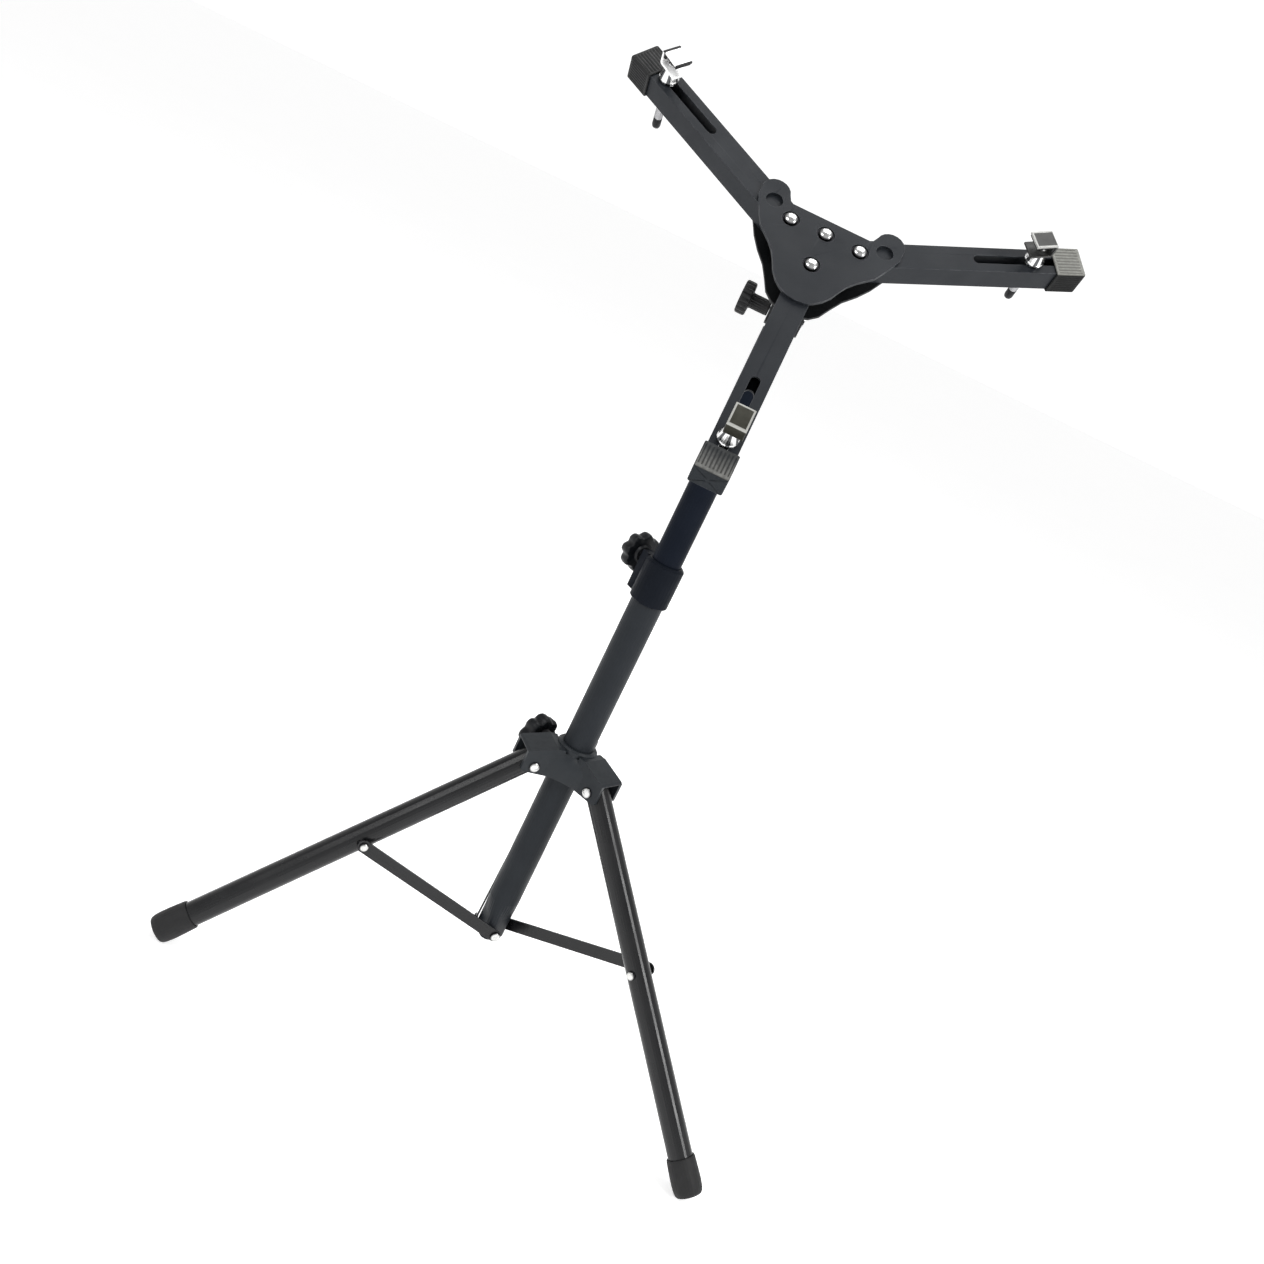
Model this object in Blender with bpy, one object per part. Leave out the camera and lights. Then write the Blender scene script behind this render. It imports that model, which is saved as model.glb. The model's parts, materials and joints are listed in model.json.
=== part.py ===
"""Folding tripod stand with a telescoping pole and a tilting head of three slotted arms.

The sizes are in millimetres, in a working frame with the pole's axis on Z and the floor at z = 0.
world() turns them into metres and moves the bottom centre of the bounding box to the origin.
"""

import math

import bmesh
import bpy
from mathutils import Matrix, Vector

for old in list(bpy.data.objects):
    bpy.data.objects.remove(old, do_unlink=True)

MM = 0.001
GAP = 0.3
SHIFT = Vector((-2.14, 48.07, 3.3))
SIDES = 32
SMALL_SIDES = 16

# Legs: azimuths are counter-clockwise from +X, seen from above.
LEG_AZIMUTHS = {"left": -151.0, "right": -31.0, "rear": 89.0}
LEG_SLOPE = 43.34
LEG_R, LEG_WALL = 9.4, 1.2
PIVOT_R, PIVOT_Z = 33.1, 215.9
LEG_START, LEG_END = -4.0, 295.8
LEG_RIVET_AT = 138.9
FOOT_FROM, FOOT_END = 273.5, 300.6
FLOOR_Z = 3.3

# Braces lie beside the leg's plane, on its counter-clockwise side.
BRACE_IN, BRACE_OUT = 12.75, 14.25
BRACE_HALF = 5.0
BRACE_LOW_Z = 58.2

# Pole
TUBE_R, TUBE_BORE = 12.5, 11.5
TUBE_LOW, TUBE_TOP, CRIMP_TOP = 52.5, 384.0, 88.0
CRIMP_FLAT, CRIMP_CORNER = 9.6, 6.2
MAST_R, MAST_BORE = 11.2, 9.9
MAST_LOW, MAST_TOP = 250.0, 575.5
COLLAR_LOW, COLLAR_TOP, COLLAR_R = 364.4, 397.6, 15.0
COLLAR_KNOB_AZ, COLLAR_KNOB_Z = 129.0, 389.5
HUB_KNOB_AZ, HUB_KNOB_Z = 149.0, 220.0
HUB_R, HUB_BORE = 16.5, 12.8

# Head: u points right, v up the slope and n out of the top plate's upper face at the centre.
HEAD_TILT = 46.49
HEAD_CENTRE = Vector((0.0, -31.97, 638.15))
TILT_AXIS = Vector((0.0, 0.0, 590.6))
PLATE_T = 2.0
DISH_R, DISH = 6.2, 1.2
CATCH_S, CATCH_R = 46.6, 6.0
ARM_WIDE, ARM_TALL, ARM_WALL = 19.8, 16.2, 1.5
ARM_TOP = -2.3
ARM_LOW = ARM_TOP - ARM_TALL
ARM_END = {"fixed": 188.0, "left": 190.0, "right": 190.0}
ARM_ANGLES = {"fixed": -90.0, "left": 150.0, "right": 30.0}
PIVOT_S = 28.94
FIXED_SCREWS = (-15.5, 13.3)
SLOT_FROM, SLOT_TO, SLOT_HALF = 111.5, 176.0, 3.3
CAP_FROM = {"fixed": 170.6, "left": 171.6, "right": 170.6}
CAP_WALL, CAP_END = 1.3, 1.7
NUT_AT = {"fixed": 163.0, "left": 164.0, "right": 155.4}
CLIP_TURN = {"fixed": 0.0, "left": -5.0, "right": 6.6}
CLIP_OFFSET = {"fixed": 1.8, "left": 0.0, "right": 0.0}
BOLT_LOW = {"fixed": -43.5, "left": -43.5, "right": -39.0}
NUT_LOW, NUT_TOP = -2.0, 8.8
CLIP_LOW, CLIP_TOP, SHEET = 9.1, 20.3, 1.5
BRIDGE_TOP, BRIDGE_LOW = -20.9, -23.1


def axes(origin, x, z):
    """A frame at origin with local X along x and local Z along z."""
    x, z = Vector(x).normalized(), Vector(z).normalized()
    y = z.cross(x)
    turn = Matrix((x, y, z)).transposed().to_4x4()
    return Matrix.Translation(origin) @ turn


def radial(azimuth):
    a = math.radians(azimuth)
    return Vector((math.cos(a), math.sin(a), 0.0))


UP = Vector((0.0, 0.0, 1.0))
PLAIN = Matrix.Identity(4)
tilt = math.radians(HEAD_TILT)
HEAD_U = Vector((1.0, 0.0, 0.0))
HEAD_V = Vector((0.0, math.cos(tilt), math.sin(tilt)))
HEAD_N = HEAD_U.cross(HEAD_V)
HEAD = axes(HEAD_CENTRE, HEAD_U, HEAD_N)
TILTER = axes(TILT_AXIS, HEAD_V, HEAD_U)


def world(place):
    """The place as an object's matrix in metres."""
    matrix = place.copy()
    matrix.translation = (place.translation - SHIFT) * MM
    return matrix


def paint(name, colour, metallic, roughness):
    material = bpy.data.materials.new(name)
    material.use_nodes = True
    shader = material.node_tree.nodes["Principled BSDF"]
    shader.inputs["Base Color"].default_value = (*colour, 1.0)
    shader.inputs["Metallic"].default_value = metallic
    shader.inputs["Roughness"].default_value = roughness
    return material


BLACK_STEEL = paint("black_steel", (0.03, 0.032, 0.036), 0.3, 0.45)
BRIGHT_STEEL = paint("bright_steel", (0.75, 0.75, 0.76), 1.0, 0.25)
BLACK_PLASTIC = paint("black_plastic", (0.022, 0.022, 0.023), 0.0, 0.5)
RUBBER = paint("rubber", (0.03, 0.03, 0.03), 0.0, 0.8)
ZINC = paint("zinc", (0.6, 0.6, 0.62), 1.0, 0.35)


def solid(name, verts, faces, place, material, smooth=30.0):
    """One closed mesh object, its faces turned outwards."""
    mesh = bpy.data.meshes.new(name)
    mesh.from_pydata([Vector(v) * MM for v in verts], [], faces)
    work = bmesh.new()
    work.from_mesh(mesh)
    bmesh.ops.recalc_face_normals(work, faces=work.faces)
    work.to_mesh(mesh)
    work.free()
    mesh.materials.append(material)
    obj = bpy.data.objects.new(name, mesh)
    bpy.context.scene.collection.objects.link(obj)
    obj.matrix_world = world(place)
    shade(obj, smooth)
    return obj


def shade(obj, degrees):
    obj.data.shade_smooth()
    obj.data.set_sharp_from_angle(angle=math.radians(degrees))


def loft(name, loops, place, material, closed=False, smooth=30.0):
    """Skins equal loops of points. The ends are capped, or joined to each other when closed."""
    count = len(loops[0])
    verts = [v for loop in loops for v in loop]
    faces = []
    rows = len(loops)
    for i in range(rows if closed else rows - 1):
        a, b = i * count, ((i + 1) % rows) * count
        for j in range(count):
            k = (j + 1) % count
            faces.append((a + j, a + k, b + k, b + j))
    if not closed:
        faces.append(tuple(range(count)))
        faces.append(tuple(range((rows - 1) * count, rows * count)))
    return solid(name, verts, faces, place, material, smooth)


def circle(r, z, sides):
    return [
        (r * math.cos(2 * math.pi * i / sides), r * math.sin(2 * math.pi * i / sides), z)
        for i in range(sides)
    ]


def turned(name, profile, place, material, sides=SIDES, ring=False):
    """A round piece about local Z, from (radius, height) pairs. A ring's profile closes on itself."""
    return loft(name, [circle(r, z, sides) for r, z in profile], place, material, closed=ring)


def prism(name, outline, low, high, place, material, smooth=30.0):
    loops = [[(x, y, z) for x, y in outline] for z in (low, high)]
    return loft(name, loops, place, material, smooth=smooth)


def block(name, x, y, z, place, material):
    outline = [(x[0], y[0]), (x[1], y[0]), (x[1], y[1]), (x[0], y[1])]
    return prism(name, outline, z[0], z[1], place, material)


def combine(obj, other, operation):
    """Applies one exact Boolean and removes the other object."""
    change = obj.modifiers.new("change", "BOOLEAN")
    change.operation = operation
    change.solver = "EXACT"
    change.object = other
    bpy.context.view_layer.update()
    graph = bpy.context.evaluated_depsgraph_get()
    result = bpy.data.meshes.new_from_object(obj.evaluated_get(graph))
    obj.modifiers.clear()
    before = obj.data
    obj.data = result
    bpy.data.meshes.remove(before)
    bpy.data.objects.remove(other, do_unlink=True)
    while len(obj.data.materials) > 1:
        obj.data.materials.pop()
    for face in obj.data.polygons:
        face.material_index = 0
    shade(obj, 30.0)
    return obj


def cut(obj, *cutters):
    for cutter in cutters:
        combine(obj, cutter, "DIFFERENCE")
    return obj


def join(obj, *others):
    for other in others:
        combine(obj, other, "UNION")
    return obj


def hole(place, r, low, high, at=(0.0, 0.0), sides=SMALL_SIDES):
    """A round cutter along local Z, turned a little so that its corners miss the walls' corners."""
    turn = place @ Matrix.Translation((at[0], at[1], 0.0)) @ Matrix.Rotation(0.13, 4, "Z")
    return loft("cutter", [circle(r, z, sides) for z in (low, high)], turn, BLACK_STEEL)


def arc(centre, r, start, end, steps):
    """Points on an arc, with the angles in degrees."""
    points = []
    for i in range(steps + 1):
        a = math.radians(start + (end - start) * i / steps)
        points.append((centre[0] + r * math.cos(a), centre[1] + r * math.sin(a)))
    return points


def stadium(x0, x1, r, steps=8):
    """A slot's outline, its round ends centred at x0 + r and x1 - r."""
    return arc((x1 - r, 0.0), r, -90.0, 90.0, steps) + arc((x0 + r, 0.0), r, 90.0, 270.0, steps)


def lobed(r, depth, lobes, z, steps):
    """One loop of a hand knob's outline."""
    loop = []
    for i in range(lobes * steps):
        a = 2 * math.pi * i / (lobes * steps)
        grip = r - depth * (0.5 - 0.5 * math.cos(lobes * a)) ** 2
        loop.append((grip * math.cos(a), grip * math.sin(a), z))
    return loop


def hand_knob(name, place, r, depth, lobes, low, high, bore, bore_to, steps=4):
    """A plastic knob about local Z, with a blind bore from its lower face."""
    loops = [
        lobed(r - 2.0, depth * 0.7, lobes, low, steps),
        lobed(r, depth, lobes, low + 2.0, steps),
        lobed(r, depth, lobes, high - 2.5, steps),
        lobed(r - 2.5, depth * 0.7, lobes, high, steps),
    ]
    knob = loft(name, loops, place, BLACK_PLASTIC, smooth=40.0)
    return cut(knob, hole(place, bore, low - 3.0, bore_to))


# Pole: the lower tube's end is pressed into a rounded triangle whose flats face the legs.
def crimped(r, flat, corner, z):
    """One loop of the tube: a circle of radius r, or a rounded triangle where r is None."""
    loop = []
    reach = 2.0 * (flat - corner)
    first = min(LEG_AZIMUTHS.values())
    for i in range(36):
        turn = 10.0 * i
        a = math.radians(first + turn)
        radius = r
        if r is None:
            from_flat = math.radians(abs((turn + 60.0) % 120.0 - 60.0))
            from_corner = math.radians(60.0) - from_flat
            if flat * math.tan(from_flat) <= math.sqrt(3.0) * (flat - corner):
                radius = flat / math.cos(from_flat)
            else:
                side = reach * math.sin(from_corner)
                radius = reach * math.cos(from_corner) + math.sqrt(corner**2 - side**2)
        loop.append((radius * math.cos(a), radius * math.sin(a), z))
    return loop


def build_pole():
    wall = TUBE_R - TUBE_BORE
    rows = [
        crimped(TUBE_BORE, 0, 0, TUBE_TOP),
        crimped(TUBE_R, 0, 0, TUBE_TOP),
        crimped(TUBE_R, 0, 0, CRIMP_TOP),
        crimped(None, CRIMP_FLAT, CRIMP_CORNER, CRIMP_TOP - 16.0),
        crimped(None, CRIMP_FLAT, CRIMP_CORNER, TUBE_LOW),
        crimped(None, CRIMP_FLAT - wall, CRIMP_CORNER - wall, TUBE_LOW),
        crimped(None, CRIMP_FLAT - wall, CRIMP_CORNER - wall, CRIMP_TOP - 16.0),
        crimped(TUBE_BORE, 0, 0, CRIMP_TOP),
    ]
    loft("lower_tube", rows, PLAIN, BLACK_STEEL, closed=True)

    middle = TUBE_TOP + GAP
    collar = turned(
        "mid_collar",
        [
            (HUB_BORE, COLLAR_LOW),
            (COLLAR_R - 1.0, COLLAR_LOW),
            (COLLAR_R, COLLAR_LOW + 1.0),
            (COLLAR_R, COLLAR_TOP - 2.0),
            (COLLAR_R - 2.0, COLLAR_TOP),
            (TUBE_BORE, COLLAR_TOP),
            (TUBE_BORE, middle),
            (HUB_BORE, middle),
        ],
        PLAIN,
        BLACK_PLASTIC,
        ring=True,
    )
    out = radial(COLLAR_KNOB_AZ)
    side = axes(Vector((0.0, 0.0, 0.0)), UP.cross(out), UP)
    boss = block("boss", (-8.0, 8.0), (-21.5, -13.4), (366.0, 396.4), side, BLACK_PLASTIC)
    place = axes(Vector((0.0, 0.0, COLLAR_KNOB_Z)), UP, out)
    nose = turned("nose", [(7.0, 14.0), (7.0, 23.0), (6.0, 24.0)], place, BLACK_PLASTIC, 24)
    join(collar, boss, nose)
    cut(collar, hole(place, 3.3, 8.0, 40.0))
    turned("collar_knob_stud", [(3.0, 13.4), (3.0, 35.0)], place, BRIGHT_STEEL, SMALL_SIDES)
    hand_knob("collar_knob", place, 15.5, 2.4, 8, 27.5, 40.0, 3.3, 35.4)

    turned(
        "upper_tube",
        [(MAST_BORE, MAST_LOW), (MAST_R, MAST_LOW), (MAST_R, MAST_TOP), (MAST_BORE, MAST_TOP)],
        PLAIN,
        BLACK_STEEL,
        ring=True,
    )


def build_hub():
    hub = turned(
        "hub",
        [
            (HUB_BORE, PIVOT_Z - 6.5),
            (HUB_R, PIVOT_Z - 6.5),
            (HUB_R, PIVOT_Z + 19.5),
            (HUB_R - 1.5, PIVOT_Z + 21.0),
            (HUB_BORE, PIVOT_Z + 21.0),
        ],
        PLAIN,
        BLACK_PLASTIC,
        ring=True,
    )
    centre = Vector((0.0, 0.0, PIVOT_Z))
    for azimuth in LEG_AZIMUTHS.values():
        out = radial(azimuth)
        across = UP.cross(out)
        upright = axes(centre, out, -across)
        outline = [(13.9, -5.6), (41.5, -5.6), (43.0, -4.1), (43.0, 11.5), (41.0, 12.8)]
        outline += [(20.0, 19.0), (13.9, 19.0)]
        join(hub, prism("socket", outline, -13.0, 13.0, upright, BLACK_PLASTIC))
    place = axes(Vector((0.0, 0.0, HUB_KNOB_Z)), UP, radial(HUB_KNOB_AZ))
    join(hub, turned("boss", [(8.5, 14.5), (8.5, 24.0), (7.5, 25.0)], place, BLACK_PLASTIC, 24))
    for azimuth in LEG_AZIMUTHS.values():
        out = radial(azimuth)
        across = UP.cross(out)
        upright = axes(centre, out, -across)
        room = [(22.3, -30.0), (60.0, -30.0), (60.0, 10.9), (22.3, 10.9)]
        cut(hub, prism("room", room, -LEG_R - 0.4, LEG_R + 0.4, upright, BLACK_PLASTIC))
        cut(hub, hole(upright, 3.3, -20.0, 20.0, (PIVOT_R, 0.0)))
    cut(hub, hole(place, 3.3, 8.0, 40.0))
    turned("hub_knob_stud", [(3.0, 13.6), (3.0, 40.0)], place, BRIGHT_STEEL, SMALL_SIDES)
    hand_knob("hub_knob", place, 18.0, 2.8, 8, 30.0, 45.0, 3.3, 40.4)


def build_leg(name, azimuth):
    out = radial(azimuth)
    across = UP.cross(out)
    slope = math.radians(LEG_SLOPE)
    along = out * math.cos(slope) - UP * math.sin(slope)
    pivot = out * PIVOT_R + UP * PIVOT_Z
    place = axes(pivot, across, along)
    inner = LEG_R - LEG_WALL
    profile = [(inner, LEG_START), (LEG_R, LEG_START), (LEG_R, LEG_END), (inner, LEG_END)]
    leg = turned(f"leg_{name}", profile, place, BLACK_STEEL, ring=True)
    cross = axes(pivot, -along, across)
    cut(leg, hole(cross, 3.3, -20.0, 20.0), hole(cross, 3.3, -20.0, 20.0, (-LEG_RIVET_AT, 0.0)))

    cup = LEG_R + GAP
    foot = turned(
        f"foot_{name}",
        [
            (cup, FOOT_FROM),
            (10.5, FOOT_FROM),
            (10.8, FOOT_FROM + 1.2),
            (11.2, 284.0),
            (11.3, 292.0),
            (11.0, 296.5),
            (10.4, 299.2),
            (9.4, FOOT_END),
            (0.8, FOOT_END),
            (0.8, LEG_END + GAP),
            (cup, LEG_END + GAP),
        ],
        place,
        RUBBER,
        ring=True,
    )
    level = axes(out * PIVOT_R, out, UP)
    cut(foot, block("floor", (0.0, 400.0), (-50.0, 50.0), (-40.0, FLOOR_Z), level, RUBBER))

    rivet = [(2.6, -15.0), (4.4, -14.4), (4.9, -13.3), (3.0, -13.3)]
    rivet += [(r, -z) for r, z in reversed(rivet)]
    turned(f"leg_pivot_rivet_{name}", rivet, cross, BRIGHT_STEEL, SMALL_SIDES)

    at_rivet = axes(pivot + along * LEG_RIVET_AT, -along, across)
    rivet = [(2.6, -12.0), (4.5, -11.3), (5.0, -9.9), (3.0, -9.9), (3.0, 9.8), (5.2, 9.8)]
    rivet += [(5.2, BRACE_IN - GAP), (3.0, BRACE_IN - GAP), (3.0, BRACE_OUT + GAP)]
    rivet += [(5.0, BRACE_OUT + GAP), (4.5, BRACE_OUT + 1.6), (2.6, BRACE_OUT + 2.2)]
    turned(f"brace_rivet_{name}", rivet, at_rivet, BRIGHT_STEEL, SMALL_SIDES)

    high = pivot + along * LEG_RIVET_AT
    low = UP * BRACE_LOW_Z
    span = high - low
    length = span.length
    strip = axes(low, span, across)
    outline = arc((length, 0.0), BRACE_HALF, -90.0, 90.0, 10)
    outline += arc((0.0, 0.0), BRACE_HALF, 90.0, 270.0, 10)
    brace = prism(f"brace_{name}", outline, BRACE_IN, BRACE_OUT, strip, BLACK_STEEL)
    cut(brace, hole(strip, 3.3, 0.0, 30.0, (length, 0.0)), hole(strip, 2.8, 0.0, 30.0))
    pin = [(2.5, BRACE_IN - GAP), (2.5, BRACE_OUT + GAP), (4.6, BRACE_OUT + GAP)]
    pin += [(4.1, BRACE_OUT + 1.6), (2.4, BRACE_OUT + 2.2)]
    turned(f"brace_pin_{name}", pin, strip, BRIGHT_STEEL, SMALL_SIDES)


def build_tilter():
    lug = [(-9.5, -14.8), (9.5, -14.8)] + arc((0.0, 0.0), 10.0, 0.0, 180.0, 14)
    upright = axes(TILT_AXIS, Vector((0.0, 1.0, 0.0)), HEAD_U)
    base = prism("tilter_base", lug, -9.5, 9.5, upright, BLACK_PLASTIC)
    plug = MAST_BORE - GAP
    top = MAST_TOP + GAP
    rows = [(plug, 553.0), (plug, top), (MAST_R, top), (MAST_R, top + 3.0), (9.0, top + 4.0)]
    join(base, turned("plug", rows, PLAIN, BLACK_PLASTIC))
    cut(base, hole(upright, 3.4, -30.0, 30.0))

    rise = (HEAD_CENTRE - TILT_AXIS).dot(HEAD_N)
    top = rise + BRIDGE_TOP
    outline = [(-10.0, 0.0), (-9.0, top), (32.4, top), (32.4, top - 4.7), (9.6, -2.8)]
    cheek = outline + arc((0.0, 0.0), 10.0, -20.0, -170.0, 12)
    bracket = prism("tilter_bracket", cheek, -12.2, 12.2, TILTER, BLACK_STEEL)
    under = rise + BRIDGE_LOW
    room = [(-40.0, -30.0), (60.0, -30.0), (60.0, under), (-40.0, under)]
    cut(bracket, prism("room", room, -9.8, 9.8, TILTER, BLACK_STEEL))
    cut(bracket, hole(TILTER, 3.4, -30.0, 30.0))
    for v in (-FIXED_SCREWS[0], -FIXED_SCREWS[1]):
        cut(bracket, hole(HEAD, 3.0, -40.0, 5.0, (0.0, v)))

    bolt = [(3.0, -31.0), (3.0, 12.5), (4.6, 12.5), (4.6, 13.0), (4.2, 13.4)]
    turned("tilt_bolt", bolt, TILTER, ZINC, SMALL_SIDES)
    away = axes(TILT_AXIS, HEAD_V, -HEAD_U)
    knob = turned("tilt_knob", [(5.2, 12.6), (5.2, 27.5)], away, BLACK_PLASTIC, 24)
    disc = [
        lobed(11.0, 0.7, 12, 26.7, 4),
        lobed(12.0, 1.0, 12, 27.7, 4),
        lobed(12.0, 1.0, 12, 33.2, 4),
        lobed(11.0, 0.7, 12, 34.2, 4),
    ]
    join(knob, loft("disc", disc, away, BLACK_PLASTIC))
    cut(knob, hole(away, 3.3, 0.0, 31.4))


def mirrored(half):
    """A closed outline from its right half, which starts and ends on the centre line."""
    return half + [(-u, v) for u, v in reversed(half) if abs(u) > 1e-6]


def screw_spots():
    spots = [(0.0, -FIXED_SCREWS[0]), (0.0, -FIXED_SCREWS[1])]
    for angle in (ARM_ANGLES["left"], ARM_ANGLES["right"]):
        a = math.radians(angle)
        spots.append((PIVOT_S * math.cos(a), PIVOT_S * math.sin(a)))
    return spots


def build_plates():
    top = [(0.0, -46.0), (6.5, -45.0), (12.2, -41.6), (16.8, -37.2), (20.9, -31.0), (24.0, -23.4)]
    top += [(27.2, -17.0), (31.6, -11.0), (36.6, -5.8), (41.3, -0.7), (45.6, 8.0), (49.4, 16.5)]
    top += [(51.6, 22.0)] + arc((42.0, 31.2), 10.0, -10.0, 170.0, 10) + [(30.2, 28.6), (28.0, 27.2)]
    top += [(0.0, 27.2)]
    low = [(0.0, -42.0), (7.0, -41.2), (13.7, -38.4), (19.5, -32.6), (24.0, -23.0), (29.3, -13.0)]
    low += [(36.8, -3.4), (43.1, 6.7), (48.6, 18.6), (48.0, 23.5), (44.0, 27.0), (0.0, 27.0)]
    plate = prism("top_plate", mirrored(top), -PLATE_T, 0.0, HEAD, BLACK_STEEL)
    under = ARM_LOW - 0.2
    lower = prism("bottom_plate", mirrored(low), under - PLATE_T + 0.1, under, HEAD, BLACK_STEEL)
    for spot in screw_spots():
        cut(plate, hole(HEAD, 3.0, -10.0, 5.0, spot), hole(HEAD, DISH_R, -DISH, 5.0, spot, 24))
        cut(lower, hole(HEAD, 3.0, -40.0, -15.0, spot))
    for angle in (ARM_ANGLES["left"], ARM_ANGLES["right"]):
        a = math.radians(angle)
        spot = (CATCH_S * math.cos(a), CATCH_S * math.sin(a))
        cut(plate, hole(HEAD, CATCH_R, -10.0, 5.0, spot, 24))
    names = ("plate_screw_upper", "plate_screw_lower", "arm_pivot_left", "arm_pivot_right")
    for name, spot in zip(names, screw_spots()):
        seat = under - PLATE_T + 0.1 if "pivot" in name else BRIDGE_LOW
        rows = [(2.7, seat - 4.0), (4.0, seat - 3.2), (4.0, seat - GAP), (2.7, seat - GAP)]
        face = GAP - DISH
        rows += [(2.7, face), (4.7, face), (4.5, face + 1.1), (3.6, face + 2.2), (2.0, face + 2.8)]
        place = HEAD @ Matrix.Translation((spot[0], spot[1], 0.0))
        turned(name, rows, place, ZINC, SMALL_SIDES)


def arm_place(name):
    a = math.radians(ARM_ANGLES[name])
    return axes(HEAD_CENTRE, HEAD_U * math.cos(a) + HEAD_V * math.sin(a), HEAD_N)


def build_arm(name):
    place = arm_place(name)
    half = ARM_WIDE / 2
    end = ARM_END[name]
    if name == "fixed":
        outline = [(-22.0, -half), (end, -half), (end, half), (-22.0, half)]
        pins = FIXED_SCREWS
    else:
        outline = [(end, -half), (end, half)] + arc((PIVOT_S, 0.0), half, 90.0, 270.0, 12)
        pins = (PIVOT_S,)
    arm = prism(f"arm_{name}", outline, ARM_LOW, ARM_TOP, place, BLACK_STEEL)
    wide = (ARM_WALL - half, half - ARM_WALL)
    tall = (ARM_LOW + ARM_WALL, ARM_TOP - ARM_WALL)
    bore = block("bore", (-60.0, 260.0), wide, tall, place, ZINC)
    slot = prism("slot", stadium(SLOT_FROM, SLOT_TO, SLOT_HALF), -40.0, 10.0, place, ZINC)
    cut(arm, bore, slot)
    for s in pins:
        cut(arm, hole(place, 3.0, -40.0, 10.0, (s, 0.0)))

    wide = (-half - GAP, half + GAP)
    tall = (ARM_LOW - GAP, ARM_TOP + GAP)
    outer_wide = (wide[0] - CAP_WALL, wide[1] + CAP_WALL)
    outer_tall = (tall[0] - CAP_WALL * 0.7, tall[1] + CAP_WALL * 0.7)
    along = (CAP_FROM[name], end + GAP + CAP_END)
    cap = block(f"arm_cap_{name}", along, outer_wide, outer_tall, place, BLACK_PLASTIC)
    cut(cap, block("cup", (0.0, end + GAP), wide, tall, place, ZINC))


def build_clamp(name):
    place = arm_place(name) @ Matrix.Translation((NUT_AT[name], 0.0, 0.0))
    head = CLIP_LOW + SHEET + GAP
    shank = [(2.9, BOLT_LOW[name]), (2.9, NUT_TOP - 0.4), (2.0, NUT_TOP - 0.4), (2.0, head)]
    shank += [(3.3, head), (3.3, head + 1.3), (2.2, head + 2.1)]
    turned(f"clamp_bolt_{name}", shank, place, BRIGHT_STEEL, SMALL_SIDES)

    rows = [circle(7.2, NUT_LOW, 12), circle(7.2, NUT_LOW + 2.4, 12), circle(4.0, NUT_TOP, 12)]
    nut = loft(f"taper_nut_{name}", rows, place, BRIGHT_STEEL, smooth=10.0)
    cut(nut, hole(place, 3.2, -10.0, 20.0))
    shade(nut, 10.0)

    turn = place @ Matrix.Rotation(math.radians(CLIP_TURN[name]), 4, "Z")
    lie = turn @ Matrix.Rotation(math.radians(90.0), 4, "X")
    inner, outer = -11.0, 5.5
    channel = [(inner, CLIP_LOW), (outer - 1.2, CLIP_LOW), (outer, CLIP_LOW + 1.2)]
    channel += [(outer, CLIP_TOP - 1.2), (outer - 1.2, CLIP_TOP), (inner, CLIP_TOP)]
    channel += [(inner, CLIP_TOP - SHEET), (outer - SHEET, CLIP_TOP - SHEET)]
    channel += [(outer - SHEET, CLIP_LOW + SHEET), (inner, CLIP_LOW + SHEET)]
    off = CLIP_OFFSET[name]
    clip = prism(f"rim_clip_{name}", channel, -6.5 - off, 6.5 - off, lie, BLACK_STEEL)
    cut(clip, hole(turn, 2.3, 0.0, 14.0))
    high = CLIP_TOP - SHEET - GAP
    wall = outer - SHEET - GAP
    pad = [(inner + 0.6, high), (wall, high), (wall, 14.2), (wall - 1.2, 14.2)]
    pad += [(wall - 1.2, high - 1.2), (inner + 0.6, high - 1.2)]
    prism(f"clip_pad_{name}", pad, -6.0 - off, 6.0 - off, lie, RUBBER)

    low = ARM_LOW - GAP
    rows = [
        lobed(6.4, 0.5, 12, low - 5.0, 4),
        lobed(7.0, 0.6, 12, low - 4.2, 4),
        lobed(7.0, 0.6, 12, low - 0.9, 4),
        lobed(6.4, 0.5, 12, low, 4),
    ]
    thumb = loft(f"thumb_nut_{name}", rows, place, ZINC, smooth=40.0)
    cut(thumb, hole(place, 3.2, -60.0, 0.0))


build_pole()
build_hub()
for leg_name, leg_azimuth in LEG_AZIMUTHS.items():
    build_leg(leg_name, leg_azimuth)
build_tilter()
build_plates()
for arm_name in ARM_ANGLES:
    build_arm(arm_name)
    build_clamp(arm_name)
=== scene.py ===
import json
import math

import bmesh
import bpy
from mathutils import Matrix, Vector


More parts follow.
